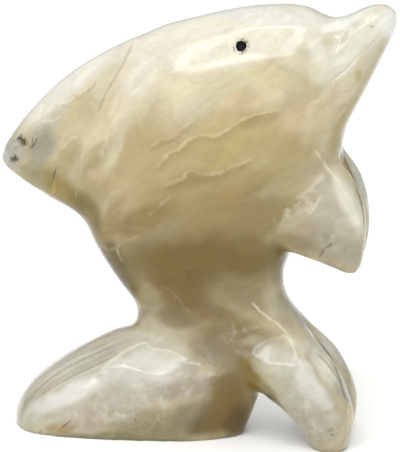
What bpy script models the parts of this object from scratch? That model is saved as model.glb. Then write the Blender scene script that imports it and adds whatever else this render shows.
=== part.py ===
"""Leaping dolphin figurine, carved from one block of banded onyx.

The dolphin stands on its tail: a broad rounded foot on the left and two tail
flukes on the right, with an open arch between them. Its back runs out into a
large dorsal fin, two pectoral fins hang under the chest, and the beak points
up and to the right. X runs to the right, Y away from the viewer and Z up, with
the origin on the ground under the middle of the figure.

The form is drawn on a sculptor's grid of hundredths of the figure's own
height. Limbs are lofts through a few sections. They are melted into one skin,
as the carver's wheel and the polishing do, and then the sole is sawn flat, the
mouth is engraved and the eyes are drilled.
"""

import math

import bmesh
import bpy
import numpy as np
from mathutils import Vector

# Driving sizes, in metres
HEIGHT = 0.102
SLAB_THICKNESS = 0.026
EYE_DIAMETER = 0.0024
EYE_DEPTH = 0.0010
MOUTH_WIDTH = 0.0009
MOUTH_DEPTH = 0.0004

# How finely the skin is made, in metres
SKIN_VOXEL = 0.0011
SMOOTHING_PASSES = 10
SKIN_FACES = 4500

# One step of the sculptor's grid, and half the slab
GRID = HEIGHT / 100
HALF_SLAB = SLAB_THICKNESS / 2

# Each section has its upper outline point, its lower outline point, the place
# of its middle and its half thickness as shares of the half slab, and how
# square it is: 2 is an ellipse, and more is boxier. Last is how much of its
# depth is ground to a slanting facet on the outer side, from the upper edge.
TRUNK = (
    ((42.2, 99.6), (43.3, 98.2), 0.0, 0.12, 2.0, 0.0),
    ((40.9, 100.4), (43.7, 96.8), 0.0, 0.28, 2.2, 0.0),
    ((37.2, 100.0), (42.2, 93.0), 0.0, 0.44, 2.8, 0.0),
    ((32.6, 97.5), (38.9, 85.6), 0.0, 0.58, 3.0, 0.0),
    ((28.2, 96.5), (35.7, 78.7), 0.0, 0.70, 3.0, 0.0),
    ((22.6, 99.2), (32.8, 72.4), 0.0, 0.83, 2.6, 0.0),
    ((12.0, 98.8), (32.0, 66.0), 0.0, 0.93, 2.6, 0.0),
    ((0.0, 96.1), (30.0, 58.5), 0.0, 0.98, 2.6, 0.0),
    ((-12.0, 91.9), (27.5, 53.0), 0.0, 1.0, 2.6, 0.0),
    ((-21.0, 83.0), (25.0, 48.5), 0.0, 1.0, 2.6, 0.0),
    ((-25.5, 70.0), (22.5, 45.0), 0.0, 0.99, 2.6, 0.0),
    ((-26.4, 57.0), (20.7, 41.5), 0.0, 0.95, 2.6, 0.0),
    ((-24.3, 46.0), (19.7, 38.2), 0.0, 0.86, 2.6, 0.0),
    ((-18.3, 35.8), (20.4, 34.2), 0.0, 0.73, 2.6, 0.0),
    ((-13.4, 28.8), (21.5, 29.0), 0.0, 0.64, 2.6, 0.0),
    ((-14.8, 21.0), (21.5, 21.5), 0.0, 0.60, 2.6, 0.0),
    ((-14.0, 14.0), (17.2, 13.5), 0.0, 0.60, 2.4, 0.0),
    ((-12.0, 7.0), (14.0, 7.0), 0.0, 0.52, 2.3, 0.0),
    ((-10.0, 0.0), (11.5, 0.0), 0.0, 0.42, 2.2, 0.0),
    ((-9.0, -6.0), (10.0, -6.0), 0.0, 0.38, 2.2, 0.0),
)
DORSAL_FIN = (
    ((2.0, 95.0), (-8.0, 44.0), 0.0, 0.84, 2.5, 0.0),
    ((-12.0, 91.8), (-20.0, 44.5), 0.0, 0.76, 2.5, 0.0),
    ((-23.3, 86.2), (-27.8, 50.2), 0.0, 0.64, 2.5, 0.0),
    ((-32.4, 79.5), (-35.6, 54.2), 0.0, 0.50, 2.5, 0.0),
    ((-39.6, 71.6), (-41.4, 57.8), 0.0, 0.37, 2.3, 0.0),
    ((-43.8, 65.4), (-44.3, 60.0), 0.0, 0.25, 2.2, 0.0),
    ((-45.5, 63.1), (-45.5, 61.4), 0.0, 0.10, 2.0, 0.0),
)
FOOT = (
    ((-41.6, 2.4), (-41.4, 0.6), 0.0, 0.16, 2.0, 0.0),
    ((-40.7, 5.2), (-40.5, -2.0), 0.0, 0.44, 2.2, 0.0),
    ((-37.6, 9.6), (-37.6, -6.5), 0.0, 0.76, 2.4, 0.0),
    ((-31.9, 14.4), (-31.9, -11.0), 0.0, 0.90, 2.8, 0.0),
    ((-25.0, 18.8), (-25.0, -15.0), 0.0, 0.93, 3.0, 0.0),
    ((-18.0, 22.4), (-18.0, -18.0), 0.0, 0.92, 3.0, 0.0),
    ((-9.0, 25.0), (-9.0, -20.0), 0.0, 0.85, 2.8, 0.0),
    ((0.0, 27.0), (0.0, -20.0), 0.0, 0.75, 2.5, 0.0),
    ((7.5, 24.0), (5.5, -14.0), 0.0, 0.55, 2.4, 0.0),
    ((13.2, 14.0), (9.4, -6.0), 0.0, 0.34, 2.2, 0.0),
    ((15.0, 9.0), (12.2, 1.0), 0.0, 0.18, 2.0, 0.0),
)
FLUKE = (
    ((13.0, 36.8), (0.0, 22.0), 0.24, 0.34, 2.5, 0.40),
    ((22.6, 31.2), (9.0, 16.4), 0.36, 0.42, 2.5, 0.42),
    ((27.0, 26.0), (16.2, 11.4), 0.44, 0.48, 2.8, 0.42),
    ((31.3, 20.8), (20.6, 8.9), 0.48, 0.48, 3.0, 0.38),
    ((34.7, 15.4), (24.1, 5.3), 0.51, 0.46, 3.0, 0.32),
    ((36.9, 10.0), (26.8, 1.6), 0.53, 0.44, 2.8, 0.26),
    ((37.3, 5.6), (28.8, -0.9), 0.53, 0.41, 2.3, 0.20),
    ((36.7, 1.8), (31.4, -2.2), 0.53, 0.32, 2.1, 0.10),
    ((35.8, -0.8), (33.2, -2.6), 0.53, 0.16, 2.0, 0.0),
)
PECTORAL_FIN = (
    ((18.0, 68.0), (5.0, 52.0), 0.56, 0.30, 2.5, 0.36),
    ((28.6, 68.2), (14.0, 48.0), 0.54, 0.33, 2.5, 0.36),
    ((35.0, 63.2), (21.0, 45.4), 0.53, 0.36, 3.0, 0.30),
    ((38.0, 56.4), (27.0, 43.6), 0.53, 0.33, 3.2, 0.22),
    ((38.7, 50.0), (32.0, 41.8), 0.53, 0.28, 3.0, 0.14),
    ((38.2, 45.0), (35.0, 40.4), 0.52, 0.24, 2.2, 0.0),
    ((37.6, 41.9), (36.7, 40.7), 0.52, 0.13, 2.0, 0.0),
)

# The carved line and mark on each flank, as points (x, z) on the grid
MOUTH_LINE = ((29.4, 84.4), (32.9, 87.0), (35.4, 89.7), (37.6, 92.0), (39.9, 94.4))
EYE_PLACE = (10.1, 91.5)

# How much of the outer half thickness a facet takes off at its edge
FACET_DROP = 0.75

POINTS_AROUND = 40
RINGS_PER_SPAN = 5
MOUTH_SIDES = 6
EYE_SIDES = 16
GROUND_CUT_SIZE = 3 * HEIGHT

STONE_COLOUR = (0.42, 0.40, 0.33, 1.0)
STONE_ROUGHNESS = 0.18


def clear_scene():
    for old in list(bpy.data.objects):
        bpy.data.objects.remove(old, do_unlink=True)


def new_collection(name):
    collection = bpy.data.collections.new(name)
    bpy.context.scene.collection.children.link(collection)
    return collection


def curve_through(points, per_span):
    """A smooth Catmull-Rom curve through rows of numbers, with per_span steps from each to the next."""
    rows = np.asarray(points, dtype=float)
    ends = np.vstack([2 * rows[0] - rows[1], rows, 2 * rows[-1] - rows[-2]])
    t = np.linspace(0, 1, per_span, endpoint=False)[:, None]
    curve = []
    for a, b, c, d in zip(ends, ends[1:], ends[2:], ends[3:]):
        cubic = 3 * (b - c) + d - a
        square = 2 * a - 5 * b + 4 * c - d
        curve.append(b + 0.5 * t * ((c - a) + t * (square + t * cubic)))
    curve.append(rows[-1:])
    return np.vstack(curve)


def ring(row, side):
    """The points of one section on a side: a superellipse with its outer facet ground off."""
    x1, z1, x2, z2, middle, thick, square, facet = row
    points = []
    for angle in np.linspace(0, 2 * math.pi, POINTS_AROUND, endpoint=False):
        along = math.copysign(abs(math.cos(angle)) ** (2 / square), math.cos(angle))
        across = math.copysign(abs(math.sin(angle)) ** (2 / square), math.sin(angle))
        if across > 0 and facet > 0:
            ground = (along + 2 * facet - 1) / (2 * facet)
            across *= 1 - FACET_DROP * max(0, ground)
        x = (x1 + x2 + (x1 - x2) * along) / 2 * GRID
        z = (z1 + z2 + (z1 - z2) * along) / 2 * GRID
        points.append((x, side * (middle + thick * across) * HALF_SLAB, z))
    return points


def loft(mesh, sections, mirrored=False):
    """Adds a closed skin through the sections to the mesh, on the other side too if mirrored."""
    rows = [(*upper, *lower, *rest) for upper, lower, *rest in sections]
    for side in (1, -1) if mirrored else (1,):
        rings = []
        for row in curve_through(rows, RINGS_PER_SPAN):
            rings.append([mesh.verts.new(point) for point in ring(row, side)])
        for near, far in zip(rings, rings[1:]):
            for i in range(POINTS_AROUND):
                j = (i + 1) % POINTS_AROUND
                mesh.faces.new((near[i], near[j], far[j], far[i]))
        mesh.faces.new(list(reversed(rings[0])))
        mesh.faces.new(rings[-1])


def melted_skin():
    """The lofts of trunk, fins, foot and flukes, melted together and smoothed, as one mesh."""
    mesh = bmesh.new()
    loft(mesh, TRUNK)
    loft(mesh, DORSAL_FIN)
    loft(mesh, FOOT)
    loft(mesh, FLUKE, mirrored=True)
    loft(mesh, PECTORAL_FIN, mirrored=True)
    bmesh.ops.recalc_face_normals(mesh, faces=mesh.faces)
    data = bpy.data.meshes.new("lofts")
    mesh.to_mesh(data)
    mesh.free()
    lofts = bpy.data.objects.new("lofts", data)
    bpy.context.scene.collection.objects.link(lofts)
    melt = lofts.modifiers.new("Melt together", "REMESH")
    melt.mode = "VOXEL"
    melt.voxel_size = SKIN_VOXEL
    polish = lofts.modifiers.new("Polish", "SMOOTH")
    polish.factor = 0.5
    polish.iterations = SMOOTHING_PASSES
    skin = bpy.data.meshes.new_from_object(lofts.evaluated_get(bpy.context.evaluated_depsgraph_get()))
    bpy.data.objects.remove(lofts)
    return skin


def rough_dolphin(collection, stone):
    """The whole figure in one even skin of four-sided faces, before it is sawn and engraved."""
    skin = melted_skin()
    skin.name = "carved_dolphin"
    skin.materials.append(stone)
    dolphin = bpy.data.objects.new("carved_dolphin", skin)
    collection.objects.link(dolphin)
    bpy.context.view_layer.objects.active = dolphin
    dolphin.select_set(True)
    bpy.ops.object.quadriflow_remesh(target_faces=SKIN_FACES, seed=1)
    dolphin.data.shade_smooth()
    reach = [vertex.co.x for vertex in dolphin.data.vertices]
    dolphin.location.x = -(min(reach) + max(reach)) / 2
    return dolphin


def on_skin(dolphin, x, z, side):
    """The place and the outward normal where a line along Y meets the skin, from the given side."""
    start = Vector((x * GRID, side * SLAB_THICKNESS, z * GRID))
    _, point, normal, _ = dolphin.ray_cast(start, Vector((0, -side, 0)))
    return point + dolphin.location, normal


def as_cutter(thing, collection):
    collection.objects.link(thing)
    thing.hide_render = True
    thing.display_type = "WIRE"
    return thing


def ground_cutter(collection):
    """A block under the ground, which saws the sole flat."""
    mesh = bmesh.new()
    bmesh.ops.create_cube(mesh, size=GROUND_CUT_SIZE)
    data = bpy.data.meshes.new("ground_cut")
    mesh.to_mesh(data)
    mesh.free()
    cutter = bpy.data.objects.new("ground_cut", data)
    cutter.location.z = -GROUND_CUT_SIZE / 2
    return as_cutter(cutter, collection)


def eye_cutter(dolphin, side, collection):
    """A short round drill that enters square to the skin."""
    point, normal = on_skin(dolphin, *EYE_PLACE, side)
    mesh = bmesh.new()
    bmesh.ops.create_cone(
        mesh,
        cap_ends=True,
        segments=EYE_SIDES,
        radius1=EYE_DIAMETER / 2,
        radius2=EYE_DIAMETER / 2,
        depth=2 * EYE_DEPTH,
    )
    data = bpy.data.meshes.new("eye_drill")
    mesh.to_mesh(data)
    mesh.free()
    cutter = bpy.data.objects.new("eye_drill", data)
    cutter.rotation_mode = "QUATERNION"
    cutter.rotation_quaternion = normal.to_track_quat("Z", "Y")
    cutter.location = point
    return as_cutter(cutter, collection)


def mouth_cutter(dolphin, side, collection):
    """A thin tube along the skin, which leaves the engraved line of the mouth."""
    mesh = bmesh.new()
    places = [on_skin(dolphin, x, z, side) for x, z in curve_through(MOUTH_LINE, 2)]
    points = [point for point, _ in places]
    outward = sum((normal for _, normal in places), Vector()).normalized()
    rings = []
    for before, point, after in zip([points[0], *points], points, [*points[1:], points[-1]]):
        across = (after - before).cross(outward).normalized()
        verts = []
        for corner in range(MOUTH_SIDES):
            angle = 2 * math.pi * corner / MOUTH_SIDES
            reach = across * (math.cos(angle) * MOUTH_WIDTH / 2)
            rise = outward * (math.sin(angle) * MOUTH_DEPTH)
            verts.append(mesh.verts.new(point + reach + rise))
        rings.append(verts)
    for near, far in zip(rings, rings[1:]):
        for i in range(MOUTH_SIDES):
            j = (i + 1) % MOUTH_SIDES
            mesh.faces.new((near[i], near[j], far[j], far[i]))
    mesh.faces.new(list(reversed(rings[0])))
    mesh.faces.new(rings[-1])
    bmesh.ops.recalc_face_normals(mesh, faces=mesh.faces)
    data = bpy.data.meshes.new("mouth_engraving")
    mesh.to_mesh(data)
    mesh.free()
    return as_cutter(bpy.data.objects.new("mouth_engraving", data), collection)


def cut(thing, cutter):
    step = thing.modifiers.new(cutter.name, "BOOLEAN")
    step.operation = "DIFFERENCE"
    step.solver = "EXACT"
    step.object = cutter


def stone_material():
    stone = bpy.data.materials.new("banded_onyx")
    stone.use_nodes = True
    shader = stone.node_tree.nodes["Principled BSDF"]
    shader.inputs["Base Color"].default_value = STONE_COLOUR
    shader.inputs["Roughness"].default_value = STONE_ROUGHNESS
    shader.inputs["Metallic"].default_value = 0.0
    return stone


def main():
    clear_scene()
    parts = new_collection("onyx dolphin")
    cutters = new_collection("cutters")
    dolphin = rough_dolphin(parts, stone_material())
    bpy.context.view_layer.update()
    drills = [eye_cutter(dolphin, side, cutters) for side in (-1, 1)]
    gravers = [mouth_cutter(dolphin, side, cutters) for side in (-1, 1)]
    for tool in [ground_cutter(cutters), *drills, *gravers]:
        cut(dolphin, tool)


main()
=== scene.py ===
# %% [markdown]
# # An onyx dolphin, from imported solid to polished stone
#
# This lesson dresses one carved figurine in Blender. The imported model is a
# faceted solid of the right size. We turn it into a smooth polished skin, cut
# the fine marks that a carver leaves, and give it the banded stone.
#
# Lengths are in metres where no comment says otherwise, X runs to the
# dolphin's beak, Z is up, and the flank in the picture faces -Y.

import math

import bmesh
import bpy
import numpy as np
from mathutils import Matrix, Vector, noise
from mathutils.bvhtree import BVHTree


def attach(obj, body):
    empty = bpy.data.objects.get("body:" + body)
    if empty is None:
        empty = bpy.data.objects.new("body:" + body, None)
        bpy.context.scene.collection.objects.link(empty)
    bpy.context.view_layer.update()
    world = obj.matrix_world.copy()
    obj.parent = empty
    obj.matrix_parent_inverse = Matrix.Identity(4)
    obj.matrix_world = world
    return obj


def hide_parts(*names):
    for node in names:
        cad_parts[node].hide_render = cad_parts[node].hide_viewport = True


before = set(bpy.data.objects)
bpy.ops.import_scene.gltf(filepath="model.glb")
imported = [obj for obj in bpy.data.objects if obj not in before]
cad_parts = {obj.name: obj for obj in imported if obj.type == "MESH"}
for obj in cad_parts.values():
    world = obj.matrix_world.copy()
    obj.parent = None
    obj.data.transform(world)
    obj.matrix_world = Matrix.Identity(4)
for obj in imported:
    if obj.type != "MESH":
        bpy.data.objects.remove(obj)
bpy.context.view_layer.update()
MM = 0.001


def in_mm(values):
    """Lengths in metres as rounded millimetres, for the printed lines."""
    return [round(float(value) / MM, 2) for value in values]


# %% [markdown]
# ## The camera and the picture's own places
#
# The picture is 400 by 452 pixels. It was taken from the dolphin's left, a
# little above it and a little round to the front of the beak. A long lens
# keeps the figure's proportions, so the camera stands half a metre away.
#
# Later steps name a vein or a patch of colour by where it is in the picture.
# One function does that for any point of the stone, with plain numpy, so that
# the marks become part of the stone and stay on it from every side.

# %% Where the camera stands
PICTURE_SIZE = (400, 452)
PIXEL = 0.00023
CAMERA_AZIMUTH = math.radians(7.5)
CAMERA_ELEVATION = math.radians(15)
CAMERA_ROLL = math.radians(1)
CAMERA_DISTANCE = 0.552
CAMERA_AIM = Vector((0.0015, 0.0, 0.0491))


def way_out(turn, rise):
    """The direction away from the dolphin: turned from straight before its flank, and raised."""
    level = math.cos(rise)
    return Vector((math.sin(turn) * level, -math.cos(turn) * level, math.sin(rise)))


def camera_axes():
    """The camera's right, up and backward directions."""
    back = way_out(CAMERA_AZIMUTH, CAMERA_ELEVATION)
    level = Vector((math.cos(CAMERA_AZIMUTH), math.sin(CAMERA_AZIMUTH), 0))
    upright = back.cross(level)
    right = level * math.cos(CAMERA_ROLL) + upright * math.sin(CAMERA_ROLL)
    return right, back.cross(right), back


RIGHT, UP, BACK = camera_axes()
CAMERA_PLACE = CAMERA_AIM + BACK * CAMERA_DISTANCE
print("camera at mm", in_mm(CAMERA_PLACE))


# %% The place in the picture of any point
def picture_places(points):
    """Columns and rows of pixels, counted from the top left, for rows of points."""
    away = np.asarray(points) - np.array(CAMERA_PLACE)
    depth = -away @ np.array(BACK)
    across = away @ np.array(RIGHT) / depth * CAMERA_DISTANCE / PIXEL
    rise = away @ np.array(UP) / depth * CAMERA_DISTANCE / PIXEL
    return np.stack([PICTURE_SIZE[0] / 2 + across, PICTURE_SIZE[1] / 2 - rise], axis=1)


print("the origin is at pixel", picture_places([(0, 0, 0)])[0].round(1))


# %% Make the camera
def add_object(name, data):
    """A new object in the scene, with this data."""
    added = bpy.data.objects.new(name, data)
    bpy.context.scene.collection.objects.link(added)
    return added


lens = bpy.data.cameras.new("portrait_lens")
lens.sensor_width = 36
lens.lens = lens.sensor_width * CAMERA_DISTANCE / (max(PICTURE_SIZE) * PIXEL)
lens.clip_start = 0.01
lens.clip_end = 20
camera = add_object("camera", lens)
camera.matrix_world = Matrix.Translation(CAMERA_PLACE) @ Matrix((RIGHT, UP, BACK)).transposed().to_4x4()
bpy.context.scene.camera = camera
print("lens", round(lens.lens), "mm")

# %% [markdown]
# ## A pale floor in soft studio light
#
# A figurine this size is photographed in a white tent. A world that is bright
# overhead and greyer towards its foot stands for the tent's cloth: the bright
# top keeps the floor white, and the greyer foot draws the thin grey rim round
# the polished stone. One wide window panel high on the left, much brighter
# along its frame, leaves the window shape on the head, foot and fluke. A
# small panel low on the left and a wide one on the right fill the flanks.


# %% Helpers for shader nodes
class Nodes:
    """A short way to write shader trees: add a node, give its inputs, link them."""

    def __init__(self, tree):
        self.tree = tree

    def give(self, node, key, value):
        if isinstance(value, bpy.types.NodeSocket):
            self.tree.links.new(value, node.inputs[key])
        else:
            node.inputs[key].default_value = value

    def add(self, kind, *values, inputs=None, **settings):
        node = self.tree.nodes.new(kind)
        for key, value in settings.items():
            setattr(node, key, value)
        for key, value in [*enumerate(values), *(inputs or {}).items()]:
            self.give(node, key, value)
        return node

    def math(self, operation, *values):
        return self.add("ShaderNodeMath", *values, operation=operation).outputs[0]

    def product(self, first, *others):
        """All the values multiplied, one after the other."""
        for value in others:
            first = self.math("MULTIPLY", first, value)
        return first

    def ramp(self, value, low, high, start=0.0, end=1.0):
        """Maps value from low..high to start..end with soft shoulders, and holds it there."""
        node = self.add("ShaderNodeMapRange", value, low, high, start, end, interpolation_type="SMOOTHSTEP")
        return node.outputs[0]

    def blend(self, share, first, second, how="MIX"):
        node = self.add("ShaderNodeMix", data_type="RGBA", blend_type=how)
        for key, value in ((0, share), (6, first), (7, second)):
            self.give(node, key, value)
        return node.outputs[2]

    def grain(self, coordinates, scale, detail=3.0, roughness=0.5, distortion=0.0):
        """Noise from 0 to 1 with so many lumps to the metre."""
        settings = {"Scale": scale, "Detail": detail, "Roughness": roughness, "Distortion": distortion}
        return self.add("ShaderNodeTexNoise", inputs={"Vector": coordinates, **settings}).outputs["Fac"]


def colour(red, green, blue):
    """A colour given as it looks on a screen, from 0 to 255, made linear for the shader."""
    linear = [c / 255 / 12.92 if c <= 10 else ((c / 255 + 0.055) / 1.055) ** 2.4 for c in (red, green, blue)]
    return (*linear, 1.0)


def new_material(name):
    """An empty material, with its node writer and principled shader."""
    material = bpy.data.materials.new(name)
    material.use_nodes = True
    return material, Nodes(material.node_tree), material.node_tree.nodes["Principled BSDF"]


print("linear cream:", [round(c, 3) for c in colour(236, 230, 208)])

# %% The white tent
TENT_TOP = 1.08
TENT_FOOT = 0.5
TENT_SLOPE = (0.05, 0.55)
TENT_TINT = (1.0, 0.995, 0.985, 1.0)
world = bpy.data.worlds.new("white_tent")
world.use_nodes = True
bpy.context.scene.world = world
nodes = Nodes(world.node_tree)
way = nodes.add("ShaderNodeTexCoord").outputs["Generated"]
height = nodes.add("ShaderNodeSeparateXYZ", way).outputs["Z"]
cloth = world.node_tree.nodes["Background"]
nodes.give(cloth, "Color", TENT_TINT)
nodes.give(cloth, "Strength", nodes.ramp(height, *TENT_SLOPE, TENT_FOOT, TENT_TOP))
bpy.context.scene.view_settings.view_transform = "Standard"
print("tent from", TENT_FOOT, "to", TENT_TOP)

# %% The pale floor
FLOOR_REACH = 3.0
FLOOR_DROP = 0.0001
PAPER_WHITE = (0.92, 0.92, 0.915, 1)
paper, nodes, shader = new_material("matt_white_paper")
shader.inputs["Base Color"].default_value = PAPER_WHITE
shader.inputs["Roughness"].default_value = 0.9
floor_mesh = bmesh.new()
bmesh.ops.create_grid(floor_mesh, x_segments=1, y_segments=1, size=FLOOR_REACH)
floor_data = bpy.data.meshes.new("floor")
floor_mesh.to_mesh(floor_data)
floor_mesh.free()
floor_data.materials.append(paper)
floor = add_object("floor", floor_data)
floor.location.z = -FLOOR_DROP
print("floor", 2 * FLOOR_REACH, "m wide")


# %% The window panel and its brighter frame
PANEL_AIM = Vector((0, 0, 0.06))


def soft_panel(name, turn, rise, distance, size, glow, shift=(0, 0)):
    """A rectangular light of a given radiance that faces the dolphin, turned and raised by degrees."""
    light = bpy.data.lights.new(name, "AREA")
    light.shape = "RECTANGLE"
    light.size, light.size_y = size
    light.energy = glow * math.pi * size[0] * size[1]
    way = way_out(math.radians(turn), math.radians(rise))
    facing = way.to_track_quat("Z", "Y")
    panel = add_object(name, light)
    panel.rotation_mode = "QUATERNION"
    panel.rotation_quaternion = facing
    panel.location = PANEL_AIM + way * distance + facing @ Vector((*shift, 0))


# A way is a turn and a rise in degrees and a distance.
WINDOW_WAY = (-11, 44, 0.60)
WINDOW_SIZE = (0.35, 0.59)
WINDOW_GLOW = 0.5
FRAME_WAY = (-11, 44, 0.59)
FRAME_WIDTH = 0.065
FRAME_GLOW = 6.0
SIDE_PANELS = {
    # name: (turn, rise, distance, size, glow)
    "left_panel": (-58, 24, 0.7, (0.16, 0.22), 1.2),
    "right_panel": (40, 18, 0.7, (0.40, 0.40), 1.05),
}
soft_panel("window_panel", *WINDOW_WAY, WINDOW_SIZE, WINDOW_GLOW)
for end in (-1, 1):
    beside = (end * (WINDOW_SIZE[0] - FRAME_WIDTH) / 2, 0)
    above = (0, end * (WINDOW_SIZE[1] - FRAME_WIDTH) / 2)
    soft_panel("window_post", *FRAME_WAY, (FRAME_WIDTH, WINDOW_SIZE[1]), FRAME_GLOW, beside)
    soft_panel("window_rail", *FRAME_WAY, (WINDOW_SIZE[0], FRAME_WIDTH), FRAME_GLOW, above)
for name, settings in SIDE_PANELS.items():
    soft_panel(name, *settings)
print("lights:", len(bpy.data.lights))

# %% [markdown]
# ## The polished skin
#
# The real surface has no facets: the carver's belts and felt wheels leave one
# flowing skin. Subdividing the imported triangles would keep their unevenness.
# So the solid's copy is remeshed into small even squares and relaxed. Plain
# smoothing would shrink fins and beak, so each pass is followed by one that
# pushes back out, which takes away the facets and keeps the form.
#
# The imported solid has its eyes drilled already. They would blur into dents,
# so a round plug fills each one first, and the eyes are drilled again below.


# %% Find the skin under a pixel
NEAR, FAR = -1, 1
WELL_BEHIND = 1.0


def under_pixel(tree, pixel, side=NEAR):
    """The skin's place and outward normal under a pixel, or right behind that on the far flank."""
    across = (pixel[0] - PICTURE_SIZE[0] / 2) * PIXEL
    rise = (PICTURE_SIZE[1] / 2 - pixel[1]) * PIXEL
    way = (CAMERA_AIM + RIGHT * across + UP * rise - CAMERA_PLACE).normalized()
    place, normal, _, _ = tree.ray_cast(CAMERA_PLACE, way)
    if side == FAR:
        place, normal, _, _ = tree.ray_cast(Vector((place.x, WELL_BEHIND, place.z)), Vector((0, -1, 0)))
    return place, normal


def spot(tree, pixel, side=NEAR):
    """The place alone, as an array."""
    return np.array(under_pixel(tree, pixel, side)[0])


def skin_beside(tree, pixel, side, reach=8):
    """The skin's place and normal at a pixel, from the unbroken skin on either side of it."""
    steps = ((reach, 0), (-reach, 0), (0, reach), (0, -reach))
    found = [under_pixel(tree, (pixel[0] + du, pixel[1] + dv), side) for du, dv in steps]
    place = sum((place for place, _ in found), Vector()) / len(found)
    return place, sum((normal for _, normal in found), Vector()).normalized()


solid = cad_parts["carved_dolphin"]
work = bmesh.new()
work.from_mesh(solid.data)
bmesh.ops.remove_doubles(work, verts=work.verts, dist=1e-6)
solid_tree = BVHTree.FromBMesh(work)
print("solid:", len(work.verts), "points,", len(work.faces), "faces")

# %% Plug the drilled eyes
EYE_PIXEL = (241, 46)
EYE_RADIUS = 0.0012
PLUG_RADIUS = EYE_RADIUS * 1.15
PLUG_DEPTH = 0.0016
PLUG_STANDS_OUT = 0.00005
for side in (NEAR, FAR):
    place, normal = skin_beside(solid_tree, EYE_PIXEL, side)
    turn = normal.to_track_quat("Z", "Y").to_matrix().to_4x4()
    middle = place - normal * (PLUG_DEPTH / 2 - PLUG_STANDS_OUT)
    bmesh.ops.create_cone(
        work,
        cap_ends=True,
        segments=24,
        radius1=PLUG_RADIUS,
        radius2=PLUG_RADIUS,
        depth=PLUG_DEPTH,
        matrix=Matrix.Translation(middle) @ turn,
    )
    print("plug", side, "at mm", in_mm(place))

# %% Remesh into small even squares
SKIN_VOXEL = 0.00062
rough = bpy.data.meshes.new("plugged_solid")
work.to_mesh(rough)
work.free()
dolphin = add_object("polished_dolphin", rough)
squares = dolphin.modifiers.new("even_squares", "REMESH")
squares.mode = "VOXEL"
squares.voxel_size = SKIN_VOXEL
skin = bpy.data.meshes.new_from_object(dolphin.evaluated_get(bpy.context.evaluated_depsgraph_get()))
dolphin.modifiers.clear()
dolphin.data = skin
skin.name = "polished_dolphin"
print("remeshed:", len(skin.vertices), "points")


# %% Relax the squares without shrinking the form
def read_points(mesh):
    points = np.empty(len(mesh.vertices) * 3)
    mesh.vertices.foreach_get("co", points)
    return points.reshape(-1, 3)


def write_points(mesh, points):
    mesh.vertices.foreach_set("co", points.ravel())
    mesh.update()


def read_edges(mesh):
    edges = np.empty(len(mesh.edges) * 2, dtype=np.int64)
    mesh.edges.foreach_get("vertices", edges)
    return edges.reshape(-1, 2)


def spread(values, edges, share):
    """Moves each point's values by a share of the way to the mean of its neighbours."""
    count = len(values)
    neighbours = np.maximum(np.bincount(edges.ravel(), minlength=count), 1)
    mean = np.empty_like(values)
    for axis in range(values.shape[1]):
        column = values[:, axis]
        total = np.bincount(edges[:, 0], column[edges[:, 1]], minlength=count)
        total += np.bincount(edges[:, 1], column[edges[:, 0]], minlength=count)
        mean[:, axis] = total / neighbours
    return values + share * (mean - values)


RELAX_PASSES = 16
SMOOTHING = 0.5
PUSHING_OUT = -0.53
points = read_points(skin)
edges = read_edges(skin)
for _ in range(RELAX_PASSES):
    points = spread(spread(points, edges, SMOOTHING), edges, PUSHING_OUT)
print("relaxed box in mm:", in_mm(points.min(0)), in_mm(points.max(0)))

# %% [markdown]
# ## Soft hollows and ground faces
#
# Where two forms meet, the carver ran a felt wheel through the hollow, and the
# ridge between them is gone. The points there are smoothed again, many times,
# by a share that fades out, so that the rest stays as it is.
#
# The foot and the near fluke mirror the window, which only a face that leans
# back can do. Such faces are too shallow to show in the solid's outline, so
# they are made here: the points in an ellipse of the picture go onto a gently
# bent face, or lean back around the ellipse's middle.


# %% Blend the forms where the carver ran one into the next
def rise_over(value, low, high):
    """0 below low, 1 above high, and a smooth step between."""
    t = np.clip((value - low) / (high - low), 0, 1)
    return t * t * (3 - 2 * t)


BLENDS = {
    # name: (pixel, reach in m, passes)
    "web_of_the_arch": ((250, 384), 0.0065, 60),
    "fluke_root": ((276, 312), 0.0085, 110),
    "outer_fluke_root": ((306, 317), 0.0060, 120),
    "fluke_shoulder": ((312, 350), 0.0055, 45),
    "foot_root": ((170, 338), 0.0080, 80),
    "throat_hollow": ((327, 138), 0.0060, 60),
}
BLEND_CORE = 0.3
BLEND_SMOOTHING = 0.6
for name, (pixel, reach, passes) in BLENDS.items():
    centre = spot(solid_tree, pixel)
    gap = np.hypot(points[:, 0] - centre[0], points[:, 2] - centre[2])
    give = (1 - rise_over(gap, reach * BLEND_CORE, reach))[:, None]
    for _ in range(passes):
        points += give * (spread(points, edges, BLEND_SMOOTHING) - points)
    print(name, "blended over", int((give > 0).sum()), "points")


# %% Grind the fluke's face that mirrors the window
def patch_gap(places, column, row, half_length, half_width, tilt):
    """How far each place is from an ellipse's middle: 1 on its edge."""
    turn = math.radians(tilt)
    away = places - (column, row)
    along = away @ (math.cos(turn), math.sin(turn)) / half_length
    across = away @ (-math.sin(turn), math.cos(turn)) / half_width
    return np.hypot(along, across)


FACE_REACH = 1.3
NEAR_FLANK = -0.003


def near_share(ellipse, core):
    """How much each near point belongs to an ellipse: all of it inside the core, none past its reach."""
    gap = patch_gap(picture_places(points), *ellipse)
    return (1 - rise_over(gap, core, FACE_REACH)) * (points[:, 1] < NEAR_FLANK)


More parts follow.
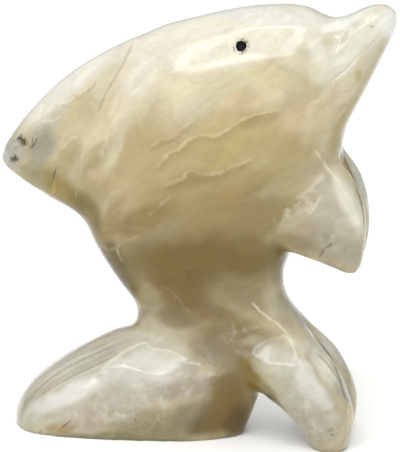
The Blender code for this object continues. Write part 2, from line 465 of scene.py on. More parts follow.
# An ellipse is a column, a row, half a length, half a width and a tilt in degrees, as in the picture.
FLUKE_FACE = (280, 357, 30, 22, 15)
FLUKE_TURN = math.radians(-4)
FLUKE_LEAN = math.radians(28)
FLUKE_BEND_PER_MM = (0.034, 0.10)
centre = spot(solid_tree, FLUKE_FACE[:2])
outward = -points[:, 1]
share = near_share(FLUKE_FACE, core=0.6)
across, up = points[:, 0] - centre[0], points[:, 2] - centre[2]
shape = -math.tan(FLUKE_TURN) * across - math.tan(FLUKE_LEAN) * up
shape -= (FLUKE_BEND_PER_MM[0] * across**2 + FLUKE_BEND_PER_MM[1] * up**2) / (2 * MM)
middle = share**2
level = (middle * (outward - shape)).sum() / middle.sum()
move = share * (level + shape - outward)
points[:, 1] -= move
print("fluke ground by mm", in_mm((move.min(), move.max())))

# %% Lean the foot's leaf back, and let the sole stand flat
FOOT_LEAF = (163, 363, 33, 20, -10)
LEAF_LEAN = math.radians(12)
SOLE_BAND = 0.0004
centre = spot(solid_tree, FOOT_LEAF[:2])
points[:, 1] += near_share(FOOT_LEAF, core=0.5) * math.tan(LEAF_LEAN) * (points[:, 2] - centre[2])
low = points[:, 2] < SOLE_BAND
points[low, 2] = np.maximum(points[low, 2] - SOLE_BAND, 0)
write_points(skin, points)
print("points of the sole:", int(low.sum()))

# %% [markdown]
# ## The marks of the carver's wheel
#
# Some forms on the real figure are crisp: the ridges of beak, fins and flukes,
# the crease where the back fin starts, the cut mouth and the drilled eye.
# They could be painted or bumped, but a real edge also bends the reflections
# and shows from the side, so they are made in the mesh. Making all of the skin
# fine enough would waste a million faces. Only the squares near a mark are
# split, then the points are moved along their normals, out or in.


# %% Distance to a line, in the picture or on the stone
def line_distance(places, line):
    """For each place: the distance to a line of straight steps, on which side, and how far along it."""
    line = np.asarray(line, dtype=float)
    lengths = np.linalg.norm(np.diff(line, axis=0), axis=1)
    ends = np.concatenate([[0], np.cumsum(lengths)])
    nearest = np.full(len(places), np.inf)
    side = np.ones(len(places))
    along = np.zeros(len(places))
    for start, end, length, before in zip(line, line[1:], lengths, ends):
        step = (end - start) / length
        away = places - start
        reach = np.clip(away @ step, 0, length)
        gap = np.linalg.norm(away - reach[:, None] * step, axis=1)
        closer = gap < nearest
        nearest[closer] = gap[closer]
        along[closer] = (before + reach)[closer] / ends[-1]
        if line.shape[1] == 2:
            turn = step[0] * away[:, 1] - step[1] * away[:, 0]
            side[closer] = np.where(turn[closer] > 0, -1, 1)
    return nearest, side, along


def smooth_line(corners, steps=5):
    """A smooth curve through a few corners, with even steps from each to the next."""
    rows = np.asarray(corners, dtype=float)
    ends = np.vstack([2 * rows[0] - rows[1], rows, 2 * rows[-1] - rows[-2]])
    t = np.linspace(0, 1, steps, endpoint=False)[:, None]
    curve = []
    for a, b, c, d in zip(ends, ends[1:], ends[2:], ends[3:]):
        curve.append(b + 0.5 * t * (c - a + t * (2 * a - 5 * b + 4 * c - d + t * (3 * (b - c) + d - a))))
    return np.vstack([*curve, rows[-1:]])


# %% The lines, in the picture's pixels
LINES = {
    # name: (corners, rise in mm or minus a cut, half width in mm, fade at the start, fade at the end)
    "mouth": ([(328, 83), (338, 76), (347, 68.6), (358, 57), (368.6, 47.2), (380, 35.2)],
              -0.14, 0.5, 0.12, 0.08),
    "beak_ridge": ([(331, 59), (340, 50), (350, 38), (360, 28), (371, 22)], 0.28, 1.3, 0.25, 0.25),
    "fin_root": ([(133, 40), (124, 62), (115, 77), (104, 98), (97, 116)], -0.1, 0.7, 0.1, 0.5),
    "pectoral_ridge": ([(313, 146), (322, 160), (331, 172), (341, 186), (352, 204), (360, 230)],
                       0.6, 2.0, 0.1, 0.1),
    "pectoral_crease": ([(317, 260), (322, 252), (329, 247), (340, 242)], -0.2, 0.6, 0.3, 0.4),
    "fluke_ridge": ([(298, 358), (306, 372), (317, 388), (328, 400), (337, 414)], 0.4, 1.9, 0.15, 0.3),
    "fluke_edge": ([(316, 356), (326, 367), (336, 379), (344, 394), (349, 412)], 0.25, 1.2, 0.3, 0.2),
    "foot_ridge": ([(40, 406), (62, 397), (85, 389), (100, 384), (112, 379)], 0.3, 2.2, 0.3, 0.4),
}
print("lines:", ", ".join(LINES))

# %% The same lines and the eyes on the stone
work = bmesh.new()
work.from_mesh(skin)
skin_tree = BVHTree.FromBMesh(work)
traced = {}
for name, (corners, *_) in LINES.items():
    for side in (NEAR, FAR):
        traced[name, side] = np.array([spot(skin_tree, pixel, side) for pixel in smooth_line(corners)])
eyes = {side: spot(skin_tree, EYE_PIXEL, side) for side in (NEAR, FAR)}
print("mouth starts at mm", in_mm(traced["mouth", NEAR][0]))

# %% Dents and chips, on the near flank alone
DENTS = {
    # name: (pixel, radius in mm, depth in mm)
    "fluke_chip": ((331, 432), 1.0, 0.5),
    "fluke_chip_tail": ((336, 435), 0.7, 0.35),
    "fin_tip_pit": ((18, 139), 0.8, 0.16),
    "fin_tip_hollow": ((12, 158), 0.9, 0.14),
    "foot_pit": ((41, 432), 0.6, 0.15),
    "mouth_chip": ((336, 80), 0.35, 0.15),
    "mouth_chip_low": ((331, 84), 0.3, 0.12),
}
dents = {name: spot(skin_tree, pixel) for name, (pixel, _, _) in DENTS.items()}
print("dents:", ", ".join(dents))

# %% Split the squares near the marks
SPLITS = (
    # (spare round each mark in m, names of the lines)
    (0.0008, LINES),
    (0.0004, ("mouth", "fin_root")),
)


def near_marks(places, spare, names):
    """Which places lie within a mark's width and some spare of it."""
    near = np.zeros(len(places), dtype=bool)
    for side in (NEAR, FAR):
        near |= np.linalg.norm(places - eyes[side], axis=1) < EYE_RADIUS * 1.3 + spare
        for name in names:
            near |= line_distance(places, traced[name, side])[0] < LINES[name][2] * MM + spare
    for name, centre in dents.items():
        near |= np.linalg.norm(places - centre, axis=1) < DENTS[name][1] * MM + spare
    return near


for spare, names in SPLITS:
    marked = near_marks(np.array([vert.co for vert in work.verts]), spare, names)
    work.verts.index_update()
    chosen = [edge for edge in work.edges if marked[edge.verts[0].index] and marked[edge.verts[1].index]]
    bmesh.ops.subdivide_edges(work, edges=chosen, cuts=1, use_grid_fill=True)
    print("split", len(chosen), "edges")
bmesh.ops.triangulate(work, faces=[face for face in work.faces if len(face.verts) > 4])
work.to_mesh(skin)
work.free()
points = read_points(skin)
print("after splitting:", len(points), "points,", len(skin.polygons), "faces")


# %% Raise the ridges and cut the grooves
def read_normals(mesh):
    normals = np.empty(len(mesh.vertices) * 3)
    mesh.vertex_normals.foreach_get("vector", normals)
    return normals.reshape(-1, 3)


def fade_ends(along, start, end):
    return rise_over(along, 0, start) * rise_over(1 - along, 0, end)


CREST_SHARPNESS = 1.6
GROOVE_BED = 0.85
SOLE_CALM = 0.0008
normals = read_normals(skin)
rise = np.zeros(len(points))
for name, (_, amount, width, start, end) in LINES.items():
    for side in (NEAR, FAR):
        gap, _, along = line_distance(points, traced[name, side])
        share = np.clip(1 - gap / (width * MM), 0, 1)
        share = rise_over(share, 0, GROOVE_BED) if amount < 0 else share**CREST_SHARPNESS
        rise += amount * MM * share * fade_ends(along, start, end)
for name, centre in dents.items():
    _, radius, depth = DENTS[name]
    rise -= depth * MM * (1 - rise_over(np.linalg.norm(points - centre, axis=1), 0, radius * MM))
EYE_DEPTH = 0.0007
for side in (NEAR, FAR):
    gap = np.linalg.norm(points - eyes[side], axis=1)
    rise -= EYE_DEPTH * (1 - rise_over(gap, EYE_RADIUS * 0.5, EYE_RADIUS * 1.1))
standing = np.clip(points[:, 2] / SOLE_CALM, 0, 1)
points += normals * (rise * standing)[:, None]
points[:, 2] = np.maximum(points[:, 2], 0)
write_points(skin, points)
print("marks move it by mm", in_mm((rise.min(), rise.max())))

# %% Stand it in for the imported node
skin.shade_smooth()
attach(dolphin, "root")
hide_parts("carved_dolphin")
print("the skin stands in for the packed node")

# %% [markdown]
# ## The black paint of the eyes
#
# The eye is a drilled pit with a drop of black paint in it. The paint is a
# thin skin that lines the pit and shines, so it is a small lens of its own,
# laid on the carved surface by rays, with a slightly uneven rim.

# %% Lay a paint drop in each pit
work = bmesh.new()
work.from_mesh(skin)
skin_tree = BVHTree.FromBMesh(work)
work.free()
PAINT_RADIUS = 0.00138
PAINT_RINGS = 7
PAINT_SPOKES = 32
PAINT_SKIN = 0.00003
PAINT_ROOT = 0.00008
ABOVE_THE_PIT = 0.002


def paint_drop(side):
    """A closed mesh that lines the pit: an upper skin, a lower one inside the stone, and a rim."""
    centre, normal = skin_beside(skin_tree, EYE_PIXEL, side, reach=9)
    across = normal.orthogonal().normalized()
    along = normal.cross(across)
    drop = bmesh.new()
    layers = []
    for lift in (PAINT_SKIN, -PAINT_ROOT):
        rings = []
        for ring in range(PAINT_RINGS):
            row = []
            for spoke in range(PAINT_SPOKES if ring else 1):
                angle = math.tau * spoke / PAINT_SPOKES
                uneven = 1 + 0.06 * math.sin(3 * angle + 0.6) + 0.04 * math.sin(7 * angle)
                radius = PAINT_RADIUS * ring / (PAINT_RINGS - 1) * uneven
                spoke_way = across * math.cos(angle) + along * math.sin(angle)
                start = centre + spoke_way * radius + normal * ABOVE_THE_PIT
                place, _, _, _ = skin_tree.ray_cast(start, -normal)
                at_rim = ring == PAINT_RINGS - 1
                row.append(drop.verts.new(place + normal * (-PAINT_ROOT if at_rim else lift)))
            rings.append(row)
        layers.append(rings)
    for rings, turn in zip(layers, (1, -1)):
        for inner, outer in zip(rings, rings[1:]):
            for spoke in range(PAINT_SPOKES):
                after = (spoke + 1) % PAINT_SPOKES
                if len(inner) == 1:
                    corners = [inner[0], outer[spoke], outer[after]]
                else:
                    corners = [inner[spoke], outer[spoke], outer[after], inner[after]]
                drop.faces.new(corners[::turn])
    bmesh.ops.remove_doubles(drop, verts=drop.verts, dist=1e-7)
    bmesh.ops.recalc_face_normals(drop, faces=drop.faces)
    return drop


PAINT_BLACK = (0.004, 0.004, 0.004, 1)
paint, nodes, shader = new_material("black_eye_paint")
shader.inputs["Base Color"].default_value = PAINT_BLACK
shader.inputs["Specular IOR Level"].default_value = 0.1
own = nodes.add("ShaderNodeTexCoord").outputs["Object"]
nodes.give(shader, "Roughness", nodes.ramp(nodes.grain(own, 3000), 0.35, 0.7, 0.16, 0.34))
for side, name in ((NEAR, "near_eye_paint"), (FAR, "far_eye_paint")):
    drop = paint_drop(side)
    data = bpy.data.meshes.new(name)
    drop.to_mesh(data)
    drop.free()
    data.shade_smooth()
    data.materials.append(paint)
    piece = add_object(name, data)
    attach(piece, "root")
    print(name, len(data.polygons), "faces")

# %% [markdown]
# ## The colours that lie in the stone
#
# Onyx grows as layers of calcite. Pure layers are greyish white and clear,
# iron makes them honey, tan or olive, and each cloud runs on into the next.
# The block was cut so that the head is cream, the body honey, the waist olive
# and the tail cloudy white.
#
# Each cloud is a soft ellipse with a name, placed as in the picture, and laid
# over the ones before it. A little noise bends their edges, from a fixed seed,
# so that each run gives the same stone. A cloud's colour is given as the eye
# sees it: the stone's own in the tent's light, with some gloss on top. Both
# are taken off, and the skin keeps the result at each point, with no image.

# %% The clouds
# Some clouds are painted light: painted highlights, a painted reflection, painted light on a side and
# painted dark rims.
CLOUDS = [
    # name, column, row, half length, half width, tilt in degrees, colour as seen, strength
    ("cream back", 215, 38, 150, 44, -8, (231, 227, 209), 1.0),
    ("bright crown", 262, 14, 85, 14, 5, (229, 229, 218), 0.8),
    ("crown shade", 258, 42, 66, 15, -8, (227, 222, 202), 0.8),
    ("crown end", 294, 66, 20, 12, 20, (226, 218, 190), 0.7),
    ("cheek", 225, 90, 85, 24, -4, (217, 209, 177), 0.9),
    ("straw cheek", 268, 80, 26, 16, 30, (220, 208, 166), 0.7),
    ("shoulder", 160, 102, 60, 34, -30, (224, 216, 186), 0.9),
    ("dorsal fin", 78, 125, 76, 44, -50, (206, 192, 158), 0.95),
    ("fin shoulder", 102, 84, 26, 14, -55, (214, 206, 182), 0.7),
    ("shoulder band", 120, 106, 52, 13, -76, (230, 222, 197), 0.7),
    ("fin flank", 100, 120, 44, 12, -62, (218, 206, 172), 0.7),
    # Painted highlight on the shoulder.
    ("painted shoulder highlight", 141, 80, 27, 19, -50, (237, 234, 218), 0.75),
    ("honey under fin", 60, 188, 40, 17, 36, (150, 132, 76), 0.9),
    ("honey body", 225, 146, 92, 36, -18, (190, 172, 122), 0.95),
    ("pink cheek", 243, 102, 26, 12, -14, (214, 194, 156), 0.8),
    ("left body", 138, 158, 54, 40, -44, (190, 172, 128), 0.9),
    ("fin honey", 95, 182, 42, 20, -80, (166, 149, 104), 0.7),
    ("white fin shadow", 114, 142, 40, 8, -72, (212, 204, 174), 0.8),
    ("pale flank patch", 98, 174, 12, 8, -8, (196, 177, 145), 0.85),
    ("mid body", 190, 192, 78, 28, -14, (168, 149, 102), 0.95),
    ("fin hollow", 88, 213, 32, 15, 54, (128, 110, 52), 0.9),
    ("olive flank", 258, 180, 24, 14, -16, (158, 141, 92), 0.8),
    ("right ochre", 306, 141, 22, 12, -40, (174, 156, 118), 0.7),
    ("ochre seam bed", 228, 149, 34, 10, -24, (186, 168, 112), 0.7),
    ("dark belly", 240, 220, 85, 32, -8, (152, 134, 88), 0.95),
    ("belly core", 232, 196, 28, 12, -10, (160, 138, 90), 0.7),
    ("right body", 293, 165, 36, 34, 60, (173, 156, 110), 0.85),
    ("right cream", 300, 118, 28, 18, -20, (202, 182, 146), 0.85),
    ("olive waist", 198, 262, 106, 35, 4, (123, 105, 58), 1.0),
    ("waist fold", 260, 253, 24, 20, 30, (126, 107, 56), 0.75),
    # Olive stone, darkened as a painted dark rim along the left edge.
    ("olive left edge, painted dark rim", 117, 262, 52, 14, 58, (113, 98, 22), 0.95),
    ("pale tongue", 112, 220, 30, 11, -66, (165, 146, 104), 0.85),
    ("honey belt", 145, 221, 42, 16, -14, (144, 123, 74), 0.85),
    ("brown waist", 180, 292, 48, 28, 20, (126, 105, 60), 0.95),
    ("brown neck", 176, 318, 28, 13, 6, (132, 116, 82), 0.9),
    ("low waist", 243, 294, 42, 20, 24, (150, 133, 98), 0.85),
    ("green root", 288, 310, 32, 16, 50, (178, 171, 146), 0.9),
    # Olive stone, darkened as a painted dark rim on the waist's right edge.
    ("waist right, painted dark rim", 282, 263, 32, 13, 84, (116, 101, 36), 0.85),
    ("brown low waist", 217, 311, 28, 12, 20, (130, 112, 79), 0.8),
    ("tail mist", 230, 338, 50, 30, 10, (139, 121, 85), 0.95),
    ("pale fluke root", 259, 343, 18, 8, 12, (186, 175, 147), 0.8),
    ("pale lozenge", 148, 298, 15, 10, 62, (166, 155, 116), 0.9),
    ("foot", 98, 385, 104, 50, -27, (192, 188, 170), 1.0),
    ("foot end", 30, 410, 20, 15, -56, (198, 202, 188), 0.8),
    ("foot end rim", 21, 413, 17, 5, -58, (156, 157, 140), 0.7),
    ("foot neck", 152, 343, 26, 11, 16, (208, 203, 184), 0.85),
    ("neck edge", 137, 319, 20, 9, -34, (144, 137, 112), 0.75),
    ("foot base", 172, 422, 84, 20, -2, (148, 139, 104), 0.92),
    ("foot crystals", 180, 384, 44, 18, 4, (174, 164, 144), 0.85),
    ("tail crystals", 208, 355, 24, 15, 20, (146, 134, 110), 0.8),
    ("foot shade", 194, 413, 26, 14, -10, (134, 126, 102), 0.7),
    ("foot sole rim", 122, 439, 92, 6, 1, (138, 131, 100), 0.8),
    ("foot bottom", 206, 428, 24, 12, -6, (112, 94, 62), 0.8),
    # The foot's leaf is a painted reflection of the window, dimmer at its tip.
    ("painted window reflection on the foot", 148, 368, 42, 19, -8, (222, 221, 210), 0.9),
    ("dim tip of the painted reflection", 180, 366, 18, 9, 0, (184, 180, 166), 0.8),
    ("foot pink", 88, 418, 32, 15, -8, (188, 176, 156), 0.85),
    ("foot slope", 72, 366, 50, 10, -29, (206, 203, 188), 0.7),
    # Painted highlight along the foot's ridge.
    ("painted highlight on the foot ridge", 71, 394, 47, 10, -24, (236, 235, 227), 0.88),
    ("foot ochre", 62, 428, 18, 7, -10, (170, 146, 104), 0.8),
    ("brown root", 228, 402, 28, 46, 14, (127, 106, 60), 0.95),
    ("dark corner", 238, 420, 16, 22, 10, (104, 83, 32), 0.85),
    ("root glow", 252, 378, 13, 28, -22, (134, 112, 40), 0.95),
    ("near fluke", 305, 395, 62, 28, 55, (186, 183, 165), 1.0),
    ("fluke shoulder", 316, 353, 17, 9, 50, (174, 169, 148), 0.85),
    ("fluke brow", 299, 346, 17, 9, 44, (218, 214, 196), 0.7),
    ("fluke arch edge", 269, 393, 16, 8, 42, (142, 131, 92), 0.9),
    ("web rim", 260, 367, 10, 8, 40, (184, 174, 144), 0.7),
    ("fluke upper face", 278, 360, 25, 16, 20, (206, 203, 188), 0.85),
    # Painted highlight at the start of the fluke's ridge.
    ("painted highlight at the fluke ridge's start", 304, 365, 14, 8, 54, (230, 228, 215), 0.8),
    ("fluke low face", 318, 424, 24, 18, 40, (178, 173, 155), 0.8),
    # The fluke's side is painted lighter, as lit from the right.
    ("fluke side", 327, 370, 42, 9, 56, (215, 213, 199), 0.9),
    ("fluke side end", 342, 393, 16, 7, 62, (168, 166, 147), 0.8),
    # Painted highlight along the fluke's ridge.
    ("painted highlight on the fluke ridge", 312, 386, 34, 10, 54, (226, 225, 216), 0.75),
    ("far fluke", 351, 380, 50, 7, 62, (178, 174, 157), 0.9),
    ("far fluke lens", 328, 348, 26, 6, 55, (208, 204, 190), 0.85),
    ("pectoral fin", 335, 212, 62, 34, 62, (188, 181, 160), 0.95),
    ("pale pectoral root", 296, 220, 18, 8, -35, (196, 187, 160), 0.7),
    ("far pectoral fin", 364, 188, 50, 6, 69, (204, 206, 193), 0.9),
    # Painted highlight on the pectoral fin's leading edge.
    ("painted highlight on the pectoral edge", 348, 200, 40, 11, 65, (229, 227, 211), 0.9),
    ("pectoral crown", 342, 147, 9, 7, 60, (158, 150, 120), 0.7),
    ("pectoral low", 328, 244, 32, 16, 34, (162, 154, 132), 0.85),
    ("pectoral root low", 300, 242, 22, 10, 18, (144, 131, 98), 0.85),
    ("pectoral tip", 350, 252, 20, 16, 40, (168, 161, 138), 0.85),
    ("throat", 322, 112, 42, 15, -62, (208, 195, 162), 0.85),
    ("olive throat edge", 344, 126, 34, 6, -64, (172, 157, 104), 0.85),
    ("streaked jaw", 318, 74, 26, 14, 74, (222, 214, 190), 0.85),
    # Painted soft highlight on the brow.
    ("brow", 314, 50, 22, 10, 68, (232, 230, 216), 0.7),
    ("beak", 358, 44, 60, 26, -45, (232, 230, 214), 0.95),
    ("beak facet", 349, 33, 18, 9, -45, (200, 200, 184), 0.8),
    ("beak crest", 347, 18, 38, 8, -22, (244, 245, 236), 0.85),
    ("lower jaw", 354, 80, 44, 9, -54, (215, 206, 179), 0.85),
    ("jaw lens", 359, 76, 8, 5, -60, (190, 178, 124), 0.8),
    ("beak tip", 390, 24, 14, 20, 10, (242, 242, 236), 0.9),
    ("white fin edge", 67, 83, 76, 16, -44, (234, 232, 220), 0.9),
    ("fin tan", 67, 157, 26, 14, -62, (176, 160, 118), 0.8),
    ("fin cloud", 60, 108, 22, 8, -44, (200, 193, 170), 0.7),
    ("grey fin mist", 46, 125, 20, 9, -42, (188, 184, 166), 0.75),
    ("fin underside", 30, 175, 18, 8, 36, (156, 149, 112), 0.75),
    ("grey fin tip", 41, 148, 14, 25, 20, (158, 156, 138), 0.85),
    ("white fin tip", 12, 150, 15, 19, 10, (176, 178, 166), 0.95),
    ("yellow fin spot", 53, 188, 4, 9, 10, (196, 172, 74), 0.5),
]
print("clouds:", len(CLOUDS))

# %% Lay the clouds over each other
SEEN_GLOSS = 0.032
SEEN_TO_STONE = 0.68
DARKEST = 0.004
PLAIN_STONE = (196, 184, 150)
CLOUD_CORE, CLOUD_REACH = 0.4, 1.2
WANDER_PIXELS = 6
WANDER_COARSE, WANDER_FINE = 90, 280
WANDER_SEED = 2


def stone(red, green, blue):
    """The stone's own colour where it looks so in the picture: without the gloss, and in less light."""
    return (*(max(c - SEEN_GLOSS, DARKEST) * SEEN_TO_STONE for c in colour(red, green, blue)[:3]), 1.0)


def cloud_share(places, *ellipse):
    """How much of a cloud shows at each place: 1 in its middle, fading out past its edge."""
    return 1 - rise_over(patch_gap(places, *ellipse), CLOUD_CORE, CLOUD_REACH)


def wander(point):
    """Two layers of smooth noise that shift a place by up to about one unit."""
    coarse = noise.noise_vector(Vector(point) * WANDER_COARSE)
    return coarse + noise.noise_vector(Vector(point) * WANDER_FINE) * 0.5


noise.seed_set(WANDER_SEED)
places = picture_places(points)
bent = places + WANDER_PIXELS * np.array([wander(point) for point in points])[:, :2]
tint = np.tile(stone(*PLAIN_STONE), (len(points), 1))
for _, *ellipse, seen, strength in CLOUDS:
    share = strength * cloud_share(bent, *ellipse)
    tint += share[:, None] * (np.array(stone(*seen)) - tint)
print("mean stone colour:", tint.mean(0).round(3))


# %% Keep the colours on the skin
def keep_colour(mesh, name, values):
    layer = mesh.color_attributes.new(name, "FLOAT_COLOR", "POINT")
    layer.data.foreach_set("color", np.asarray(values, dtype=np.float32).ravel())


def keep_number(mesh, name, values):
    layer = mesh.attributes.new(name, "FLOAT", "POINT")
    layer.data.foreach_set("value", np.asarray(values, dtype=np.float32))


keep_colour(skin, "stone_colour", tint)
print("kept the clouds")

# %% [markdown]
# ## Seams, streaks, flaws and painted light
#
# Where growth paused, the layers meet in wavy seams: a pale line with a darker
# one below it. Healed cracks show as thin pale streaks, and a few flaws are
# brown or black. Some pale lines are painted highlights along the ridges of
# beak, fins, flukes and foot, and two dark ones are painted shade in a chip and
# a groove. The shade lines are painted shade: thin dark lines in the gaps where
# two forms meet, dark rims along some outlines, and fine dark bands of painted
# reflection that run side by side along the back of the foot.
#
# All of these are far thinner than the squares of the skin, so a colour at
# each point would blur them. Each point keeps its distance to the nearest
# line instead, which the material turns into a crisp line.

# %% The lines in the stone, and the painted highlight and shade lines
SEAMS = [
    # (share of full strength, half width in mm, corners in the picture)
    (1.0, 1.3, [(152, 172), (162, 162), (168, 154), (182, 147), (187, 141), (200, 136),
                (215, 136), (227, 130), (241, 121), (259, 114), (274, 111), (288, 113)]),
    (0.9, 1.3, [(158, 189), (166, 185), (182, 179), (187, 173), (193, 172),
                (203, 175), (221, 172), (229, 168), (239, 164), (256, 157)]),
    (0.6, 1.2, [(147, 150), (159, 141), (171, 138), (189, 124), (197, 119)]),
    (0.5, 1, [(96, 240), (103, 247), (112, 249), (124, 243), (140, 235)]),
    (0.25, 1, [(158, 284), (170, 291), (181, 302), (191, 316)]),
]
STREAKS_AND_HIGHLIGHTS = [
    (0.2, 0.6, [(148, 217), (159, 206), (172, 194)]),
    (0.2, 0.4, [(86, 130), (82, 160), (79, 182), (74, 202)]),
    (0.4, 1.4, [(120, 88), (112, 112), (107, 138), (100, 160)]),
    (0.6, 0.5, [(50, 101), (60, 104), (71, 99), (82, 92), (90, 86), (98, 79)]),
    (0.5, 0.4, [(33, 128), (42, 121), (52, 121), (62, 115)]),
    (0.4, 0.5, [(60, 152), (70, 140), (86, 133)]),
    (0.4, 0.4, [(116, 248), (122, 262)]),
    (0.5, 1.6, [(274, 226), (286, 216), (300, 208), (312, 198)]),
    (0.4, 1.2, [(297, 200), (310, 189), (325, 174)]),
    (0.5, 0.7, [(306, 216), (314, 208), (324, 193)]),
    (0.7, 0.45, [(250, 300), (262, 313), (275, 322), (284, 330), (290, 337), (295, 346)]),
    # The next three pale lines are painted highlights: along the pectoral ridge, the beak ridge and the
    # lower edge of the mouth's groove.
    (0.6, 0.5, [(314, 148), (322, 160), (331, 172), (341, 186), (350, 201)]),
    (0.5, 0.5, [(332, 58), (340, 50), (350, 38), (360, 28)]),
    (0.6, 0.35, [(329, 84), (337, 78), (345, 72), (352, 64), (360, 54), (368, 46)]),
    (0.4, 0.4, [(213, 85), (224, 84)]),
    (0.35, 0.4, [(250, 78), (262, 83), (268, 90)]),
    (0.4, 0.35, [(275, 86), (279, 80)]),
    (0.35, 0.6, [(303, 108), (316, 102), (322, 100)]),
    # Painted highlight along the fluke's edge.
    (0.5, 0.35, [(316, 356), (325, 366), (335, 378), (343, 392), (348, 410), (350, 428)]),
    (0.6, 0.5, [(184, 362), (192, 363), (201, 365)]),
    # The last two pale lines are painted highlights along the back and the crest of the foot.
    (0.3, 0.7, [(22, 404), (37, 386), (63, 366), (92, 352), (122, 338)]),
    (0.3, 0.5, [(26, 412), (44, 394), (70, 380), (98, 367), (116, 356)]),
]
FLAWS_AND_SHADE = [
    (0.6, 0.4, [(54, 434), (62, 428), (71, 420)]),
    (0.6, 0.4, [(38, 433), (42, 431)]),
    (0.6, 0.35, [(187, 273), (190, 272), (194, 270)]),
    (0.7, 0.35, [(51, 187), (54, 176), (57, 165)]),
    (0.6, 0.4, [(37, 137), (35, 143), (31, 149)]),
    (0.95, 1.5, [(17, 137), (21, 141), (23, 147)]),
    (0.95, 1.4, [(9, 161), (14, 160), (18, 156)]),
    (0.5, 0.7, [(19, 145), (15, 150), (13, 155)]),
    (0.25, 0.5, [(88, 92), (93, 86), (97, 81)]),
    (0.2, 0.5, [(56, 110), (60, 107), (66, 105)]),
    # Painted shade in the pectoral fin's groove.
    (0.5, 0.5, [(318, 258), (325, 249), (333, 243)]),
    (0.4, 0.5, [(366, 27), (374, 26)]),
    # Painted shade in the chip at the fluke's foot.
    (0.8, 0.4, [(330, 434), (336, 436)]),
]
# Painted shade: thin dark lines in the gaps between the fins and between the flukes, dark rims along
# outlines, and the groove at the back fin's root.
SHADE_LINES = [
    (0.6, 0.45, [(341, 135), (340, 143), (341, 152)]),
    (0.55, 0.35, [(341, 152), (349, 169), (357, 188), (363, 210), (366, 236)]),
    (0.6, 0.35, [(302, 319), (318, 341), (329, 355), (337, 371), (343, 391), (349, 407)]),
    (0.35, 0.3, [(314, 352), (324, 360), (334, 373), (342, 387), (347, 402)]),
    (0.5, 0.4, [(287, 250), (282, 262), (281, 272), (285, 287)]),
    (0.5, 0.5, [(27, 181), (50, 196), (77, 211), (86, 223), (107, 258), (126, 285), (137, 305)]),
    (0.4, 0.5, [(18, 406), (34, 380), (60, 358), (88, 344), (120, 331)]),
    (0.6, 0.5, [(265, 392), (277, 402), (291, 419), (303, 436)]),
    (0.22, 0.4, [(134, 40), (124, 62), (115, 77), (104, 98), (97, 116)]),
]
print("seams, streaks, flaws, creases:", len(SEAMS), len(STREAKS_AND_HIGHLIGHTS), len(FLAWS_AND_SHADE), len(SHADE_LINES))

# %% The painted dark reflection bands along the back of the foot
FOOT_BACK = np.array([(21, 407), (37, 383), (62, 362), (89, 348), (120, 336)])
FOOT_CREST = np.array([(29, 411), (44, 397), (69, 383), (97, 370), (124, 355)])
FOOT_REFLECTION_BANDS = ((0.1, 0.25), (0.34, 0.35), (0.58, 0.2), (0.8, 0.28))
BAND_HALF_WIDTH = 0.24
for part_way, strength in FOOT_REFLECTION_BANDS:
    SHADE_LINES.append((strength, BAND_HALF_WIDTH, (1 - part_way) * FOOT_BACK + part_way * FOOT_CREST))
print("with the foot's bands:", len(SHADE_LINES), "creases")

# %% Keep the distance to the nearest line
PIXELS_TO_MM = PIXEL / MM
LINE_REACH = 1.6
LINE_FADE = 0.12
FARTHEST = 9
HIDDEN_SHARE = 0.5
STRETCH_LIMIT = 2.0
near_flank = 1 - rise_over(points[:, 1], -0.001, 0.002)
hidden_too = HIDDEN_SHARE + (1 - HIDDEN_SHARE) * near_flank
sight = points - np.array(CAMERA_PLACE)
sight /= np.linalg.norm(sight, axis=1)[:, None]
in_view = rise_over(-(read_normals(skin) * sight).sum(axis=1), -0.1, 0.15)


def on_stone(corners):
    """Where a smooth line in the picture meets the skin."""
    hits = [under_pixel(skin_tree, pixel)[0] for pixel in smooth_line(corners, steps=8)]
    return np.array([hit for hit in hits if hit is not None])


def keep_lines(name, lines, shown, stretched=True):
    """Keeps each point's gap to the nearest line, in half widths and minus above it, and its share."""
    best = np.full(len(places), np.inf)
    signed = np.full(len(places), np.inf)
    share = np.zeros(len(places))
    for strength, width, corners in lines:
        gap, side, along = line_distance(places, smooth_line(corners, steps=4))
        gap *= PIXELS_TO_MM / width
        if not stretched:
            gap = np.maximum(gap, line_distance(points, on_stone(corners))[0] / (width * MM * STRETCH_LIMIT))
        closer = gap < best
        best[closer] = gap[closer]
        signed[closer] = (gap * -side)[closer]
        share[closer] = (strength * fade_ends(along, LINE_FADE, LINE_FADE))[closer]
    share *= 1 - rise_over(best, LINE_REACH, LINE_REACH + 1)
    keep_number(skin, f"{name}_gap", np.clip(signed, -FARTHEST, FARTHEST))
    keep_number(skin, f"{name}_share", share * shown)


for name, lines in (("seam", SEAMS), ("streak_and_highlight", STREAKS_AND_HIGHLIGHTS), ("flaw_and_shade", FLAWS_AND_SHADE)):
    keep_lines(name, lines, hidden_too)
# The painted shade lines show only where the skin faces the camera.
keep_lines("shade_line", SHADE_LINES, in_view, stretched=False)
print("kept four kinds of line")

# %% Where the crystals show, and the smudge round the eye
CRYSTAL_PATCHES = [
    # an ellipse as a cloud has, strength
    (186, 366, 50, 24, 12, 0.7),
    (124, 402, 90, 32, -10, 0.7),
    (318, 410, 50, 26, 55, 0.6),
    (240, 340, 30, 20, 20, 0.35),
    (338, 235, 26, 20, 60, 0.6),
    (40, 118, 60, 14, -52, 0.6),
]
crystals = np.zeros(len(points))
for *patch, strength in CRYSTAL_PATCHES:
    crystals = np.maximum(crystals, strength * cloud_share(bent, *patch))
keep_number(skin, "crystals", crystals)
from_eye = np.minimum(*(np.linalg.norm(points - eyes[side], axis=1) for side in (NEAR, FAR)))
keep_number(skin, "eye_gap", np.clip(from_eye / MM, 0, FARTHEST))
print("crystals over", round(100 * float((crystals > 0.2).mean())), "% of the skin")

